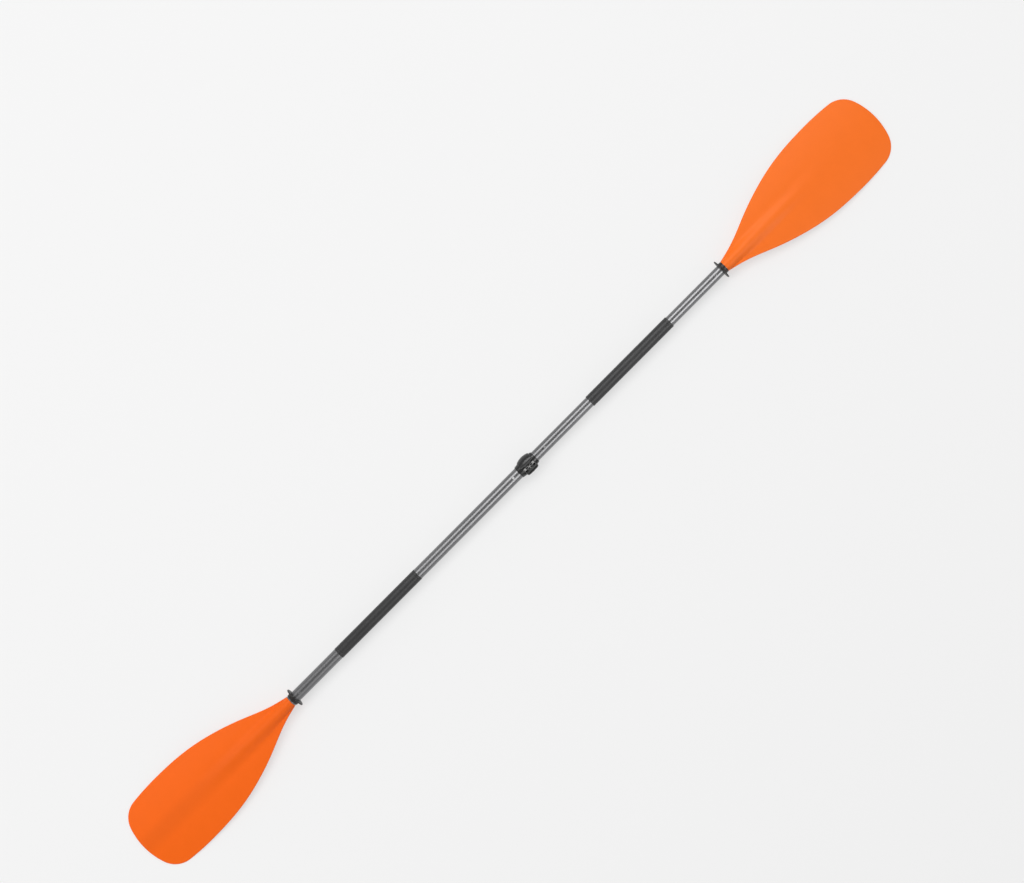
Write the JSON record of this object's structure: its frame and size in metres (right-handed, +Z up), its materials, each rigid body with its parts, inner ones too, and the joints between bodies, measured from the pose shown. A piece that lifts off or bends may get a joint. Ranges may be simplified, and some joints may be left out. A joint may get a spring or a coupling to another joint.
{
  "type": "kayak paddle",
  "caption": "adjustable take-apart kayak paddle with orange spoon blades, rubber grips, drip rings and a cam lever clamp that sets its length and feather",
  "frame": {"origin": "on the flat surface that the paddle lies on, under the middle of its length and width", "axes": "+X along the shaft from the outer half (with the clamp) to the inner half, +Y across the blades, +Z up, out of the blades' backs"},
  "size_m": [2.311, 0.1884, 0.0591],
  "materials": {
    "blade_plastic": "satin moulded polypropylene",
    "anodised_tube": "satin anodised",
    "grip_rubber": "matte, fine texture",
    "ring_rubber": "matte",
    "rivet_aluminium": "plain",
    "foam": "closed-cell foam",
    "plug_plastic": "moulded",
    "clamp_plastic": "satin moulded nylon",
    "plated_steel": "plated"
  },
  "bodies": {
    "outer_half": {"outer_blade": "blade_plastic", "outer_tube": "anodised_tube", "outer_grip": "grip_rubber", "outer_rivets": "rivet_aluminium", "outer_foam_plug": "foam", "clamp_collar": "clamp_plastic", "collar_screw": "plated_steel", "clamp_screw": "plated_steel", "screw_washer": "plated_steel", "cam_plate": "plated_steel", "lever_barrel": "plated_steel"},
    "lever": {"clamp_lever": "clamp_plastic"},
    "outer_ring": {"outer_drip_ring": "ring_rubber"},
    "tube_plug": {"inner_end_plug": "plug_plastic"},
    "inner_half": {"inner_blade": "blade_plastic", "inner_tube": "anodised_tube", "inner_grip": "grip_rubber", "inner_rivets": "rivet_aluminium", "inner_foam_plug": "foam"},
    "inner_ring": {"inner_drip_ring": "ring_rubber"}
  },
  "joints": [
    {"name": "length_slide", "type": "slide", "parent": "outer_half", "child": "tube_plug", "axis": [1, 0, 0], "range_m": [-0.15, 0.06]},
    {"name": "feather_turn", "type": "hinge", "parent": "tube_plug", "child": "inner_half", "pos_m": [0.0625, 0, 0.02956], "axis": [1, 0, 0], "continuous": true},
    {"name": "lever_swing", "type": "hinge", "parent": "outer_half", "child": "lever", "pos_m": [0.0645, -0.00505, 0.05355], "axis": [1, 0, 0], "range_deg": [0, 150]},
    {"name": "outer_ring_slide", "type": "slide", "parent": "outer_half", "child": "outer_ring", "axis": [1, 0, 0], "range_m": [-0.0025, 0.13]},
    {"name": "inner_ring_slide", "type": "slide", "parent": "inner_half", "child": "inner_ring", "axis": [-1, 0, 0], "range_m": [0, 0.15]}
  ]
}
